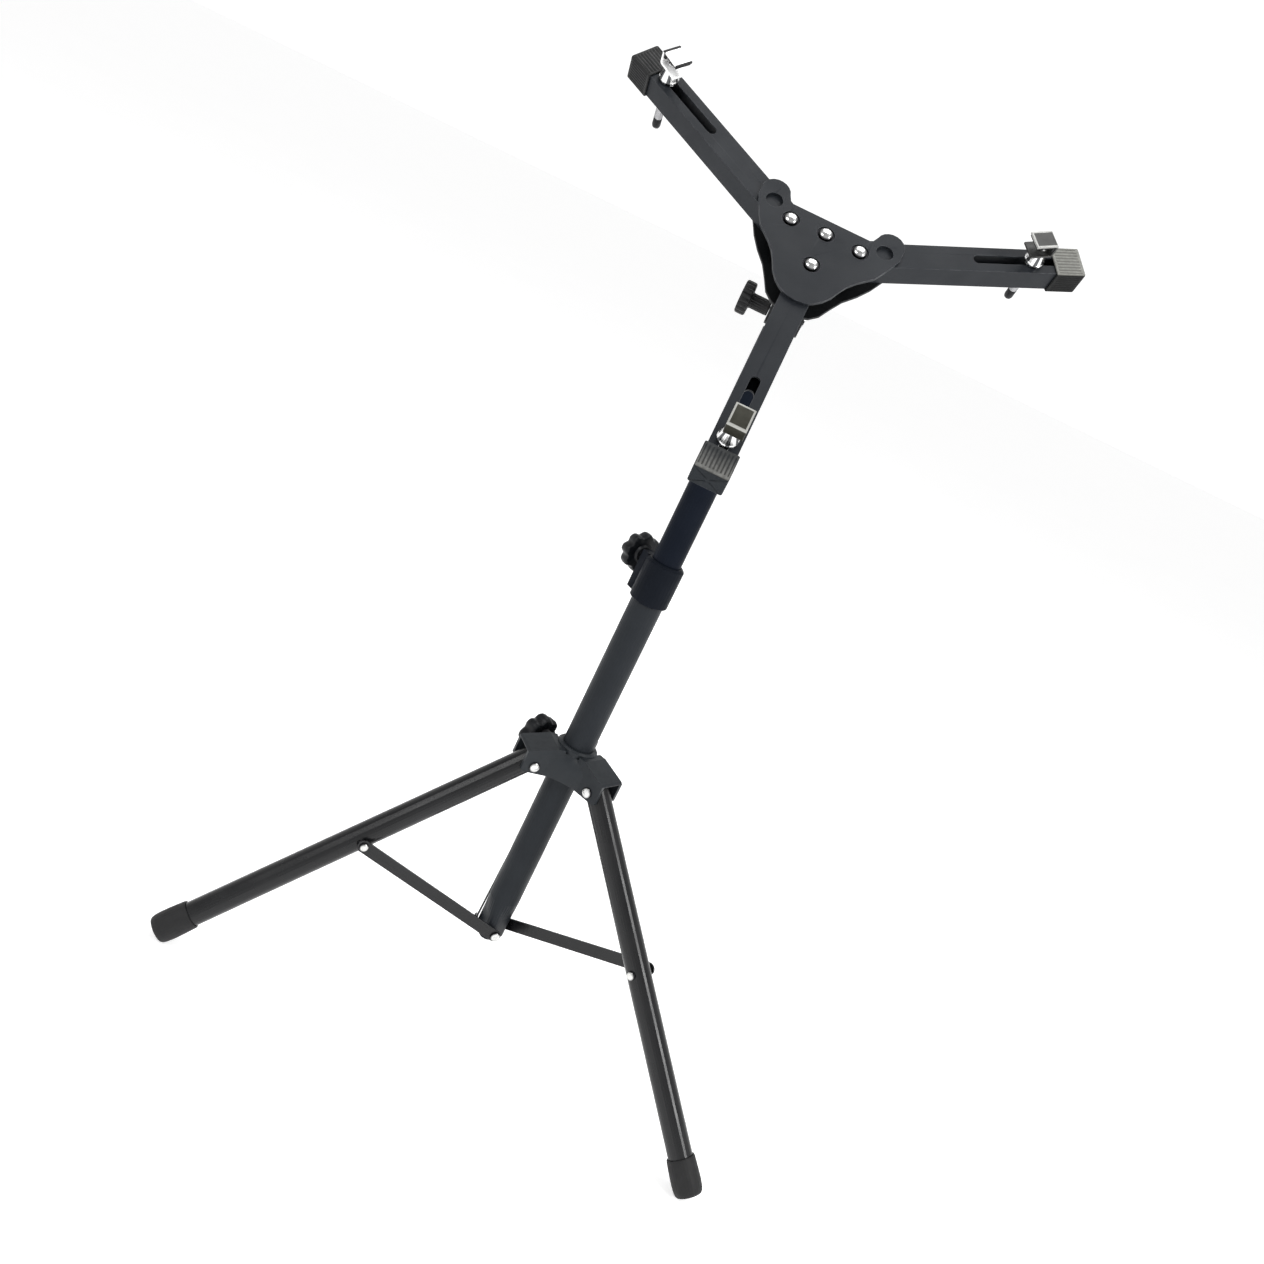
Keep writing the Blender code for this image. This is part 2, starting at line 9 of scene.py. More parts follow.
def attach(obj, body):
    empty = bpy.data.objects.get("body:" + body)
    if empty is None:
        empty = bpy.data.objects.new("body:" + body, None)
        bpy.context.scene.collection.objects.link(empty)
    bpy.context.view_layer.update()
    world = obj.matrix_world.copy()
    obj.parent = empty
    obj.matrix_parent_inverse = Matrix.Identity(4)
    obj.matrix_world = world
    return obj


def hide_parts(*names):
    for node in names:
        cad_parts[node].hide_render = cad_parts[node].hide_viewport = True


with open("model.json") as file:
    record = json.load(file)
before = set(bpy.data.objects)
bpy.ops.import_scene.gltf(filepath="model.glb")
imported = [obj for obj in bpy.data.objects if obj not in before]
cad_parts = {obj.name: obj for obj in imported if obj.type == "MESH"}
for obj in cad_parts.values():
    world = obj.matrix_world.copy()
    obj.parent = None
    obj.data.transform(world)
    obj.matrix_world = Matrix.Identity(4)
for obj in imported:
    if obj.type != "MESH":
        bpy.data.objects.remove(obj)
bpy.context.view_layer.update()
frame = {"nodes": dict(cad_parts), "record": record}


# Camera
def place_camera():
    forward_elevation, forward_azimuth, roll = (math.radians(v) for v in (17.943, 0.156, 25.853))
    forward = Vector(
        (
            math.sin(forward_azimuth) * math.cos(forward_elevation),
            math.cos(forward_azimuth) * math.cos(forward_elevation),
            -math.sin(forward_elevation),
        )
    )
    right = Vector((math.cos(forward_azimuth), -math.sin(forward_azimuth), 0.0))
    up = right.cross(forward)
    x = right * math.cos(roll) + up * math.sin(roll)
    y = up * math.cos(roll) - right * math.sin(roll)
    turn = Matrix((x, y, -forward)).transposed().to_4x4()
    data = bpy.data.cameras.new("camera")
    data.lens = 35.604
    data.sensor_width = 36.0
    data.clip_start = 0.02
    data.clip_end = 50.0
    camera = bpy.data.objects.new("camera", data)
    camera.matrix_world = Matrix.Translation((-0.000968, -0.938148, 0.622638)) @ turn
    bpy.context.scene.collection.objects.link(camera)
    bpy.context.scene.camera = camera


place_camera()


# Materials
# Radius of the lighter edges on painted steel: partly wear, partly a painted highlight on the corners.
WEAR_AND_HIGHLIGHT_RADIUS = 0.0006


class Nodes:
    """A short way to write a node tree."""

    def __init__(self, name):
        self.material = bpy.data.materials.new(name)
        self.material.use_nodes = True
        self.tree = self.material.node_tree
        self.shader = self.tree.nodes["Principled BSDF"]
        self.place = self.add("ShaderNodeTexCoord").outputs["Object"]

    def add(self, kind, **settings):
        node = self.tree.nodes.new(kind)
        for key, value in settings.items():
            setattr(node, key, value)
        return node

    def link(self, source, target):
        self.tree.links.new(source, target)

    def noise(self, scale, detail=2.0, roughness=0.5):
        node = self.add("ShaderNodeTexNoise")
        node.inputs["Scale"].default_value = scale
        node.inputs["Detail"].default_value = detail
        node.inputs["Roughness"].default_value = roughness
        self.link(self.place, node.inputs["Vector"])
        return node.outputs["Fac"]

    def ramp(self, value, low, high, start, end):
        node = self.add("ShaderNodeMapRange")
        node.inputs["From Min"].default_value = low
        node.inputs["From Max"].default_value = high
        node.inputs["To Min"].default_value = start
        node.inputs["To Max"].default_value = end
        self.link(value, node.inputs["Value"])
        return node.outputs["Result"]

    def mix(self, factor, first, second):
        node = self.add("ShaderNodeMix", data_type="RGBA")
        for socket, colour in ((node.inputs[6], first), (node.inputs[7], second)):
            if isinstance(colour, tuple):
                socket.default_value = (*colour, 1.0)
            else:
                self.link(colour, socket)
        self.link(factor, node.inputs[0])
        return node.outputs[2]

    def bump(self, height, distance, strength):
        node = self.add("ShaderNodeBump")
        node.inputs["Distance"].default_value = distance
        node.inputs["Strength"].default_value = strength
        self.link(height, node.inputs["Height"])
        return node.outputs["Normal"]

    def edges(self, radius):
        """1 at corners and 0 on flat faces: where the lighter edges go, partly wear and partly painted highlight.
        """
        bevel = self.add("ShaderNodeBevel")
        bevel.samples = 4
        bevel.inputs["Radius"].default_value = radius
        geometry = self.add("ShaderNodeNewGeometry")
        dot = self.add("ShaderNodeVectorMath", operation="DOT_PRODUCT")
        self.link(bevel.outputs["Normal"], dot.inputs[0])
        self.link(geometry.outputs["Normal"], dot.inputs[1])
        return self.ramp(dot.outputs["Value"], 0.995, 0.9, 0.0, 1.0)

    def set(self, name, value):
        self.shader.inputs[name].default_value = value


def painted_steel(name, dark, light, rough, specular=0.2, wear_and_highlight_colour=(0.10, 0.105, 0.112)):
    """Satin powder coat: fine orange peel, soft cloudiness and lighter edges, partly rubbed paint and partly a
    painted highlight.
    """
    n = Nodes(name)
    cloud = n.ramp(n.noise(18.0, 4.0, 0.6), 0.35, 0.65, 0.0, 1.0)
    body = n.mix(cloud, dark, light)
    wear_and_highlight_patches = n.ramp(n.noise(160.0, 3.0, 0.6), 0.4, 0.65, 0.15, 0.8)
    # The lighter edge colour is partly rubbed paint and partly a painted highlight along the corners.
    wear_and_highlight_mask = n.add("ShaderNodeMath", operation="MULTIPLY")
    n.link(n.edges(WEAR_AND_HIGHLIGHT_RADIUS), wear_and_highlight_mask.inputs[0])
    n.link(wear_and_highlight_patches, wear_and_highlight_mask.inputs[1])
    n.link(n.mix(wear_and_highlight_mask.outputs["Value"], body, wear_and_highlight_colour), n.shader.inputs["Base Color"])
    rough_map = n.ramp(n.noise(45.0, 3.0), 0.3, 0.7, rough - 0.05, rough + 0.07)
    n.link(rough_map, n.shader.inputs["Roughness"])
    n.set("Specular IOR Level", specular)
    peel = n.noise(1500.0, 2.0)
    n.link(n.bump(peel, 0.00003, 0.5), n.shader.inputs["Normal"])
    return n.material


def bright_metal(name, colour, rough):
    """Plated steel with hairline scratches and a little clouding."""
    n = Nodes(name)
    cloud = n.ramp(n.noise(60.0, 3.0), 0.3, 0.7, 0.0, 1.0)
    n.link(n.mix(cloud, tuple(0.82 * c for c in colour), colour), n.shader.inputs["Base Color"])
    fine = n.noise(700.0, 4.0, 0.6)
    n.link(n.ramp(fine, 0.3, 0.7, rough * 0.7, rough * 1.5), n.shader.inputs["Roughness"])
    n.set("Metallic", 1.0)
    n.link(n.bump(n.noise(2600.0, 2.0), 0.00002, 0.5), n.shader.inputs["Normal"])
    return n.material


def plated_clip(name, face, painted_edge_tone, half, mouth, bend, top, back, sides=True):
    """Plated sheet whose upper flange takes `painted_edge_tone` along its rim: painted light and shade on the
    sheet's edges. The sizes bound the channel in its own frame.
    """
    n = Nodes(name)
    split = n.add("ShaderNodeSeparateXYZ")
    n.link(n.place, split.inputs["Vector"])
    rim = n.ramp(split.outputs["X"], bend - back, bend - back + 0.0002, 0.0, 1.0)
    edges = [n.ramp(split.outputs["X"], mouth + CLIP_RIM, mouth + CLIP_RIM - 0.0002, 0.0, 1.0)]
    if sides:
        size = n.add("ShaderNodeMath", operation="ABSOLUTE")
        n.link(split.outputs["Y"], size.inputs[0])
        edges.append(n.ramp(size.outputs["Value"], half - CLIP_RIM, half - CLIP_RIM + 0.0002, 0.0, 1.0))
    for near in edges:
        both = n.add("ShaderNodeMath", operation="MAXIMUM")
        n.link(rim, both.inputs[0])
        n.link(near, both.inputs[1])
        rim = both.outputs["Value"]
    upper = n.add("ShaderNodeMath", operation="MULTIPLY")
    n.link(rim, upper.inputs[0])
    n.link(n.ramp(split.outputs["Z"], top - 0.0017, top - 0.0015, 0.0, 1.0), upper.inputs[1])
    rim = upper.outputs["Value"]
    cloud = n.ramp(n.noise(150.0, 4.0, 0.65), 0.35, 0.65, 0.0, 1.0)
    body = n.mix(cloud, tuple(0.8 * c for c in face), face)
    n.link(n.mix(rim, body, painted_edge_tone), n.shader.inputs["Base Color"])
    n.link(n.ramp(n.noise(300.0, 3.0), 0.3, 0.7, 0.28, 0.42), n.shader.inputs["Roughness"])
    n.set("Metallic", 0.35)
    n.set("Specular IOR Level", 0.3)
    n.link(n.bump(n.noise(1800.0, 2.0), 0.00002, 0.5), n.shader.inputs["Normal"])
    return n.material


def shade_rimmed(name, colour, rough, radius):
    """A round bright head on local Z whose outer edge is painted dark: painted shade along the rim of the head."""
    n = Nodes(name)
    flat = n.add("ShaderNodeVectorMath", operation="MULTIPLY")
    flat.inputs[1].default_value = (1.0, 1.0, 0.0)
    n.link(n.place, flat.inputs[0])
    reach = n.add("ShaderNodeVectorMath", operation="LENGTH")
    n.link(flat.outputs["Vector"], reach.inputs[0])
    # Painted shade: the colour turns dark towards the outer edge of the head.
    edge = n.ramp(reach.outputs["Value"], radius * 0.66, radius * 0.92, 0.0, 1.0)
    cloud = n.mix(n.ramp(n.noise(260.0, 3.0), 0.3, 0.7, 0.0, 1.0), tuple(0.75 * c for c in colour), colour)
    n.link(n.mix(edge, cloud, (0.02, 0.02, 0.022)), n.shader.inputs["Base Color"])
    n.link(n.ramp(n.noise(300.0, 2.0), 0.3, 0.7, rough - 0.06, rough + 0.08), n.shader.inputs["Roughness"])
    n.set("Metallic", 1.0)
    n.link(n.bump(n.noise(1500.0, 2.0), 0.00002, 0.5), n.shader.inputs["Normal"])
    return n.material


def moulded(name, dark, light, rough, grain, depth, specular=0.2):
    """Moulded plastic or rubber with a fine spark-eroded grain."""
    n = Nodes(name)
    body = n.mix(n.ramp(n.noise(35.0, 4.0, 0.6), 0.35, 0.65, 0.0, 1.0), dark, light)
    n.link(body, n.shader.inputs["Base Color"])
    n.link(n.ramp(n.noise(220.0, 3.0), 0.3, 0.7, rough - 0.06, rough + 0.08), n.shader.inputs["Roughness"])
    n.set("Specular IOR Level", specular)
    n.link(n.bump(n.noise(grain, 3.0, 0.6), depth, 0.6), n.shader.inputs["Normal"])
    return n.material


PLATE_PAINT = painted_steel("plate_paint", (0.0098, 0.0114, 0.0142), (0.0126, 0.0146, 0.0178), 0.46, 0.15)
LEG_PAINT = painted_steel("leg_paint", (0.0036, 0.0038, 0.0044), (0.0056, 0.0059, 0.0067), 0.26, 0.32)
TUBE_PAINT = painted_steel("tube_paint", (0.0100, 0.0121, 0.0150), (0.0127, 0.0152, 0.0186), 0.46, 0.14)
MAST_PAINT = painted_steel("mast_paint", (0.0042, 0.006, 0.0105), (0.0056, 0.0078, 0.013), 0.4, 0.04)
UNDER_PAINT = painted_steel("under_paint", (0.0035, 0.0038, 0.0043), (0.0055, 0.006, 0.0066), 0.38)
BRIGHT = bright_metal("bright_plate", (0.8, 0.8, 0.8), 0.14)
ZINC = bright_metal("zinc_plate", (0.78, 0.78, 0.79), 0.2)
# Near-black ring for the dish round each plate screw: painted shade.
SHADE_RING = bright_metal("black_washer", (0.012, 0.012, 0.014), 0.3)
THREAD = bright_metal("thread_steel", (0.36, 0.36, 0.37), 0.3)
# Screw and rivet heads with painted shade on their outer edges; the wider collars of the link rivets are all in
# painted shade.
SCREW = shade_rimmed("screw_head", (0.82, 0.82, 0.82), 0.2, 0.0049)
RIVET = shade_rimmed("rivet_head", (0.7, 0.7, 0.69), 0.22, 0.0044)
LINK_RIVET = shade_rimmed("link_rivet_head", (0.7, 0.7, 0.68), 0.22, 0.0036)
PLASTIC = moulded("black_plastic", (0.0118, 0.0142, 0.0168), (0.0158, 0.0186, 0.0218), 0.42, 900.0, 0.00005)
TILT_PLASTIC = moulded("tilt_knob_plastic", (0.012, 0.012, 0.0125), (0.0175, 0.0175, 0.018), 0.42, 900.0, 0.00005)
KNOB_PLASTIC = moulded("knob_plastic", (0.0028, 0.0034, 0.0046), (0.005, 0.006, 0.0076), 0.36, 900.0, 0.00004)
COLLAR_PLASTIC = moulded("collar_plastic", (0.004, 0.0054, 0.0084), (0.0056, 0.0072, 0.0108), 0.46, 900.0, 0.00005, 0.05)
CAP_PLASTIC = moulded("cap_plastic", (0.008, 0.0084, 0.0088), (0.0125, 0.0128, 0.013), 0.42, 900.0, 0.00005)
RUBBER = moulded("foot_rubber", (0.0105, 0.0105, 0.011), (0.0155, 0.0155, 0.016), 0.58, 700.0, 0.00008)


def ribbed(name, groove, crest, top, depth, sides, fade=None):
    """Cap plastic with painted light on its upper face: painted highlight `crest` on the ribs, painted shade
    `groove` between them.
    """
    n = Nodes(name)
    split = n.add("ShaderNodeSeparateXYZ")
    n.link(n.place, split.inputs["Vector"])
    height = split.outputs["Z"]
    side = n.mix(n.ramp(n.noise(35.0, 4.0), 0.35, 0.65, 0.0, 1.0), tuple(0.7 * c for c in sides), sides)
    face = n.mix(n.ramp(height, top - depth, top, 0.0, 1.0), groove, crest)
    # The painted highlight is broken up in patches.
    wear_and_highlight_colour = n.mix(n.ramp(n.noise(420.0, 3.0), 0.35, 0.7, 0.0, 0.45), face, groove)
    # Painted light only on the upper face; the sides keep the plastic's own colour.
    on_top = n.ramp(height, top - depth * 1.5, top - depth * 1.1, 0.0, 1.0)
    # `fade` weakens the painted light towards the inner end of the cap.
    if fade:
        along = n.ramp(split.outputs["X"], fade[0], fade[1], 0.25, 1.0)
        both = n.add("ShaderNodeMath", operation="MULTIPLY")
        n.link(on_top, both.inputs[0])
        n.link(along, both.inputs[1])
        on_top = both.outputs["Value"]
    n.link(n.mix(on_top, side, wear_and_highlight_colour), n.shader.inputs["Base Color"])
    n.link(n.ramp(n.noise(220.0, 3.0), 0.3, 0.7, 0.5, 0.62), n.shader.inputs["Roughness"])
    n.set("Specular IOR Level", 0.08)
    n.link(n.bump(n.noise(900.0, 3.0), 0.00005, 0.6), n.shader.inputs["Normal"])
    return n.material


def faceted(name, facets):
    """Bright plating on a faceted cone: every other facet has a painted dark reflection of the room in its colour.
    """
    n = Nodes(name)
    split = n.add("ShaderNodeSeparateXYZ")
    n.link(n.place, split.inputs["Vector"])
    angle = n.add("ShaderNodeMath", operation="ARCTAN2")
    n.link(split.outputs["Y"], angle.inputs[0])
    n.link(split.outputs["X"], angle.inputs[1])
    turns = n.add("ShaderNodeMath", operation="MULTIPLY")
    turns.inputs[1].default_value = facets / 2.0
    n.link(angle.outputs["Value"], turns.inputs[0])
    wave = n.add("ShaderNodeMath", operation="SINE")
    n.link(turns.outputs["Value"], wave.inputs[0])
    painted_dark_reflection = n.ramp(wave.outputs["Value"], 0.2, 0.5, 0.0, 1.0)
    n.link(n.mix(painted_dark_reflection, (0.80, 0.80, 0.80), (0.085, 0.087, 0.09)), n.shader.inputs["Base Color"])
    n.link(n.ramp(n.noise(700.0, 4.0), 0.3, 0.7, 0.16, 0.3), n.shader.inputs["Roughness"])
    n.set("Metallic", 1.0)
    n.link(n.bump(n.noise(2200.0, 2.0), 0.00002, 0.5), n.shader.inputs["Normal"])
    return n.material


def finish_of(node):
    if node.startswith("foot_") or node.startswith("clip_pad"):
        return RUBBER
    if node.startswith(("leg_pivot", "brace_rivet", "brace_pin", "clamp_bolt", "taper_nut")):
        return BRIGHT
    if node.endswith("stud"):
        return BRIGHT
    if node.startswith(("plate_screw", "arm_pivot", "tilt_bolt", "thumb_nut")):
        return ZINC
    if node.startswith("arm_cap"):
        return CAP_PLASTIC
    if node == "mid_collar":
        return COLLAR_PLASTIC
    if node in ("hub", "tilter_base"):
        return PLASTIC
    if node.endswith("knob"):
        return KNOB_PLASTIC
    if node == "upper_tube":
        return MAST_PAINT
    if node in ("bottom_plate", "tilter_bracket"):
        return UNDER_PAINT
    if node.startswith(("leg_", "brace_")):
        return LEG_PAINT
    if node == "lower_tube":
        return TUBE_PAINT
    return PLATE_PAINT


# Widths of the rounded edges, in metres, for nodes that keep their CAD shape.
EDGE_WIDTHS = {
    "foot_": 0.0009,
    "hub": 0.0011,
    "mid_collar": 0.0009,
    "tilter_base": 0.0006,
    "tilter_bracket": 0.0003,
    "top_plate": 0.0005,
    "bottom_plate": 0.0005,
    "arm_": 0.0009,
    "clip_pad": 0.0002,
    "brace_left": 0.0004,
    "brace_right": 0.0004,
    "brace_rear": 0.0004,
    "thumb_nut": 0.0003,
}
SHARP = math.radians(32.0)


def soften(name, obj):
    """Rounds the corners of a CAD node that has a width in the table."""
    width = max((w for start, w in EDGE_WIDTHS.items() if name.startswith(start)), default=0.0)
    if name.startswith(("hub_", "arm_pivot")) or width == 0.0:
        return
    weld = obj.modifiers.new("weld", "WELD")
    weld.merge_threshold = 0.000002
    bevel = obj.modifiers.new("soft_edges", "BEVEL")
    bevel.width = width
    bevel.segments = 3
    bevel.limit_method = "ANGLE"
    bevel.angle_limit = SHARP
    bevel.harden_normals = True


for name, obj in frame["nodes"].items():
    for slot in obj.material_slots:
        slot.material = finish_of(name)
    if not obj.material_slots:
        obj.data.materials.append(finish_of(name))
    soften(name, obj)


# Where things are: each piece is placed on a joint's axis and sized by its CAD node.
JOINTS = {joint["name"]: joint for joint in frame["record"]["behaviour"]["joints"]}


def axes(origin, x, z):
    """A frame at origin with local X along x and local Z along z."""
    z = Vector(z).normalized()
    x = Vector(x)
    x = (x - z * x.dot(z)).normalized()
    turn = Matrix((x, z.cross(x), z)).transposed().to_4x4()
    return Matrix.Translation(origin) @ turn


def extent(node, place):
    """Lowest and highest corner of a CAD node in the frame `place`."""
    inverse = place.inverted()
    points = [inverse @ vertex.co for vertex in frame["nodes"][node].data.vertices]
    low = Vector([min(p[i] for p in points) for i in range(3)])
    high = Vector([max(p[i] for p in points) for i in range(3)])
    return low, high


def piece(name, loops, place, material, body, closed=False, smooth=35.0):
    """Skins equal loops of local points into one piece that rides on a body."""
    count = len(loops[0])
    rows = len(loops)
    verts = [v for loop in loops for v in loop]
    faces = []
    for i in range(rows if closed else rows - 1):
        a, b = i * count, ((i + 1) % rows) * count
        for j in range(count):
            k = (j + 1) % count
            faces.append((a + j, a + k, b + k, b + j))
    if not closed:
        faces.append(tuple(range(count)))
        faces.append(tuple(range((rows - 1) * count, rows * count)))
    mesh = bpy.data.meshes.new(name)
    mesh.from_pydata(verts, [], faces)
    work = bmesh.new()
    work.from_mesh(mesh)
    bmesh.ops.recalc_face_normals(work, faces=work.faces)
    work.to_mesh(mesh)
    work.free()
    mesh.materials.append(material)
    mesh.shade_smooth()
    mesh.set_sharp_from_angle(angle=math.radians(smooth))
    obj = bpy.data.objects.new(name, mesh)
    bpy.context.scene.collection.objects.link(obj)
    obj.matrix_world = place
    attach(obj, body)
    return obj


def circle(r, z, sides=40):
    step = 2 * math.pi / sides
    return [(r * math.cos(step * i), r * math.sin(step * i), z) for i in range(sides)]


def turned(name, profile, place, material, body, sides=40):
    """A round piece from (radius, height) pairs in metres. Radius 0 is not used: ends are small flats."""
    return piece(name, [circle(r, z, sides) for r, z in profile], place, material, body)


def dome(name, place, r, height, material, body, seat=0.0006):
    """A rivet or screw head: a short straight edge and a round crown."""
    profile = [(r * 0.97, 0.0), (r, seat * 0.4), (r, seat)]
    steps = 7
    for i in range(1, steps + 1):
        a = 0.5 * math.pi * i / (steps + 0.6)
        profile.append((r * math.cos(a), seat + (height - seat) * math.sin(a)))
    return turned(name, profile, place, material, body)


# Arms' end caps
CAP_RIBS = 8
CAP_RIB_DEPTH = 0.00055
CAP_CORNER = 0.0011
SIDE_STEPS = 48


def cap_section(x, half_y, half_z, centre_z, rib):
    """A rounded rectangle across the arm, with ribs of the given depth along each side."""
    loop = []
    for side in range(4):
        half, other = (half_y, half_z) if side % 2 == 0 else (half_z, half_y)
        for i in range(SIDE_STEPS):
            t = -1.0 + 2.0 * (i + 0.5) / SIDE_STEPS
            run = t * half
            out = other
            inset = abs(run) - (half - CAP_CORNER)
            if inset > 0.0:
                out -= CAP_CORNER - math.sqrt(max(CAP_CORNER**2 - inset**2, 0.0))
            if abs(t) < 0.86:
                wave = 0.5 - 0.5 * math.cos(2 * math.pi * CAP_RIBS * (t / 0.86 + 1.0) / 2.0)
                out -= rib * (1.0 - wave**0.6)
            a = math.radians(90.0 * side)
            y = -run * math.cos(a) - out * math.sin(a)
            z = out * math.cos(a) - run * math.sin(a)
            loop.append((x, y, z + centre_z))
    return loop


def build_cap(name, body):
    place = arm_frame(name)
    low, high = extent(f"arm_cap_{name}", place)
    arm_low, arm_high = extent(f"arm_{name}", place)
    y, z = (high.y - low.y) / 2, (high.z - low.z) / 2
    mid = (high.z + low.z) / 2
    wall_y, wall_z = arm_high.y + 0.0002, (arm_high.z - arm_low.z) / 2 + 0.0002
    inner = arm_high.x + 0.0002
    rib = CAP_RIB_DEPTH
    loops = [
        cap_section(inner, wall_y, wall_z, mid, 0.0),
        cap_section(low.x + 0.0003, wall_y, wall_z, mid, 0.0),
        cap_section(low.x, wall_y + 0.0003, wall_z + 0.0003, mid, 0.0),
        cap_section(low.x, y - 0.0004, z - 0.0004, mid, 0.0),
        cap_section(low.x + 0.0004, y, z, mid, 0.0),
        cap_section(low.x + 0.0016, y, z, mid, 0.0),
        cap_section(low.x + 0.0024, y, z, mid, rib),
        cap_section(high.x - 0.0030, y, z, mid, rib),
        cap_section(high.x - 0.0022, y, z, mid, 0.0),
        cap_section(high.x - 0.0009, y, z, mid, 0.0),
        cap_section(high.x - 0.0003, y - 0.0003, z - 0.0003, mid, 0.0),
        cap_section(high.x, y - 0.0010, z - 0.0010, mid, 0.0),
        cap_section(high.x, 0.0016, 0.0016, mid, 0.0),
    ]
    # The right and fixed caps get painted light on their ribbed tops.
    if name == "right":
        plain = (0.0125, 0.0128, 0.013)
        material = ribbed("cap_painted_top_light", (0.09, 0.09, 0.082), (0.215, 0.215, 0.2), high.z, rib, plain)
    elif name == "fixed":
        outer = (low.x + 0.004, high.x - 0.004)
        bluish = (0.0155, 0.0185, 0.022)
        material = ribbed("cap_painted_rib_highlight", (0.028, 0.028, 0.027), (0.15, 0.15, 0.143), high.z, rib, bluish, outer)
    else:
        material = CAP_PLASTIC
    cap = piece(f"ribbed_cap_{name}", loops, place, material, body, smooth=20.0)
    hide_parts(f"arm_cap_{name}")


def arm_frame(name):
    slide = JOINTS[f"clamp_{name}_slide"]
    swivel = JOINTS[f"clip_{name}_swivel"]
    return axes(swivel["pos_m"], slide["axis"], swivel["axis"])


# Clamps: faceted taper nuts, threads and tip caps
NUT_FACETS = 12
FACETED = faceted("faceted_plate", NUT_FACETS)


def facet_loop(r, z):
    loop = []
    for i in range(NUT_FACETS):
        a = 2 * math.pi * (i + 0.5) / NUT_FACETS
        loop.append((r * math.cos(a), r * math.sin(a), z))
    return loop


def build_clamp(name):
    place = arm_frame(name)
    body = f"clamp_{name}"
    low, high = extent(f"taper_nut_{name}", place)
    r = high.x
    bore = 0.00315
    loops = [
        facet_loop(bore, low.z),
        facet_loop(r * 0.94, low.z),
        facet_loop(r, low.z + 0.0006),
        facet_loop(r, low.z + 0.0022),
        facet_loop(r * 0.93, low.z + 0.0028),
        facet_loop(r * 0.62, high.z - 0.0007),
        facet_loop(r * 0.52, high.z),
        facet_loop(bore, high.z),
    ]
    nut = piece(f"facet_nut_{name}", loops, place, FACETED, body, closed=True, smooth=12.0)
    rounded = nut.modifiers.new("soft_edges", "BEVEL")
    rounded.width = 0.00018
    rounded.segments = 2
    rounded.limit_method = "ANGLE"
    rounded.angle_limit = math.radians(12.0)
    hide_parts(f"taper_nut_{name}")

    bolt_low, bolt_high = extent(f"clamp_bolt_{name}", place)
    nut_low, nut_high = extent(f"thumb_nut_{name}", place)
    end = bolt_low.z
    tip = place @ Matrix.Translation((0.0, 0.0, end))
    thick = 0.0031
    profile = [(0.00295, 0.0075), (thick, 0.0072), (thick, 0.0008), (0.0027, -0.0006), (0.0012, -0.0011)]
    turned(f"tip_cap_{name}", profile, tip, KNOB_PLASTIC, body, 28)

    # A rolled thread shows on the bolt between the thumb nut and the tip cap.
    crest, root, pitch = 0.0031, 0.00292, 0.001
    span = (nut_low.z - 0.0004) - (end + 0.0077)
    turns = max(int(span / pitch), 1)
    profile = []
    for i in range(turns):
        z = end + 0.0077 + i * pitch
        profile += [(root, z), (crest, z + pitch * 0.4), (crest, z + pitch * 0.6)]
    profile.append((root, end + 0.0077 + turns * pitch))
    turned(f"bolt_thread_{name}", profile, place, THREAD, body, 24)


# Rim clips: bent sheet channels, open towards the middle of the head
CLIP_TURN = {"fixed": 0.0, "left": -5.0, "right": 6.6}
CLIP_RIM = 0.0013
SHEET = 0.0015
BEND = 0.0017
# Face colour and painted edge colour of each clip: a painted highlight on the edges of the fixed and right clips;
# the left clip's face is near white and its edges get painted shade.
CLIP_LOOKS = {
    "fixed": ((0.036, 0.035, 0.027), (0.33, 0.33, 0.31)),
    "left": ((0.96, 0.96, 0.96), (0.004, 0.004, 0.005)),
    "right": ((0.036, 0.036, 0.035), (0.30, 0.30, 0.29)),
}


def bend_arc(x, z, r, start, end):
    points = []
    for i in range(7):
        a = math.radians(start + (end - start) * i / 6)
        points.append((x + r * math.cos(a), z + r * math.sin(a)))
    return points


def build_clip(name):
    place = arm_frame(name) @ Matrix.Rotation(math.radians(CLIP_TURN[name]), 4, "Z")
    low, high = extent(f"rim_clip_{name}", place)
    half = (high.y - low.y) / 2
    place = place @ Matrix.Translation((0.0, (high.y + low.y) / 2, 0.0))
    face, painted_edge_tone = CLIP_LOOKS[name]
    back = CLIP_RIM if name != "left" else CLIP_RIM + 0.0017
    spread = (half, low.x, high.x, high.z, back, name != "left")
    material = plated_clip(f"clip_plate_{name}", face, painted_edge_tone, *spread)
    inner = BEND - SHEET + 0.0003
    outline = [(low.x, low.z)]
    outline += bend_arc(high.x - BEND, low.z + BEND, BEND, -90.0, 0.0)
    outline += bend_arc(high.x - BEND, high.z - BEND, BEND, 0.0, 90.0)
    outline += [(low.x, high.z), (low.x, high.z - SHEET)]
    outline += bend_arc(high.x - SHEET - inner, high.z - SHEET - inner, inner, 90.0, 0.0)
    outline += bend_arc(high.x - SHEET - inner, low.z + SHEET + inner, inner, 0.0, -90.0)
    outline += [(low.x, low.z + SHEET)]
    loops = [[(x, y, z) for x, z in outline] for y in (-half, half)]
    clip = piece(f"clip_channel_{name}", loops, place, material, f"clip_{name}", smooth=40.0)
    rounded = clip.modifiers.new("soft_edges", "BEVEL")
    rounded.width = 0.00022
    rounded.segments = 2
    rounded.limit_method = "ANGLE"
    rounded.angle_limit = math.radians(50.0)
    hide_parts(f"rim_clip_{name}")


